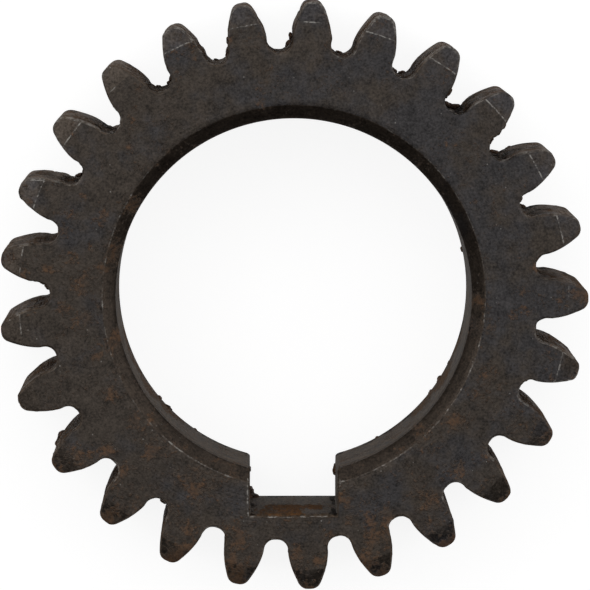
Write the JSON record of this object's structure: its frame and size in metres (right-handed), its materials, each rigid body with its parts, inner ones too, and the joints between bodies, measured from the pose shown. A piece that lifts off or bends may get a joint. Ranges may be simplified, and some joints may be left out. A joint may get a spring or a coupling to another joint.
{
  "type": "spur gear",
  "caption": "Dark oxidised steel spur gear with straight involute teeth, turned tip chamfers and a wide bore with a keyway.",
  "frame": {"origin": "on the gear's axis, in the plane of the back face that it lies on", "axes": "+Z along the axis towards the front face, keyway towards -Y"},
  "size_m": [0.0855, 0.0856, 0.0254],
  "materials": {
    "gear_steel": "dark oxidised, satin, with rust spots, dried grime and worn edges"
  },
  "bodies": {
    "root": {"gear": "gear_steel"}
  },
  "joints": []
}
